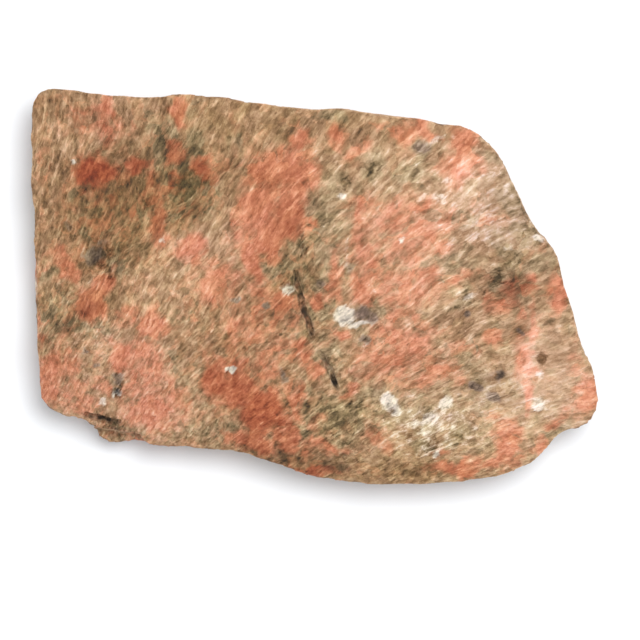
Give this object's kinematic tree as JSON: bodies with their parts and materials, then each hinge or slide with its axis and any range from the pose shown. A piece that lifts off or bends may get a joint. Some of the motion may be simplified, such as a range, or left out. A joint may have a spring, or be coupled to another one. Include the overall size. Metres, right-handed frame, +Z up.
{
  "type": "rough unakite stone",
  "caption": "Rough slab of salmon and olive mottled stone with a broken rim, a low scarp and a short open fissure, flat underneath to rest on.",
  "frame": {"origin": "middle of the stone's box, on the flat underside", "axes": "+X along the length, to the right in the picture; +Y across the width, up in the picture; +Z up out of the worn upper face, towards the camera"},
  "size_m": [0.0902, 0.063, 0.0149],
  "materials": {
    "unakite": null
  },
  "bodies": {
    "root": {"rough_unakite_stone": "unakite"}
  },
  "joints": []
}
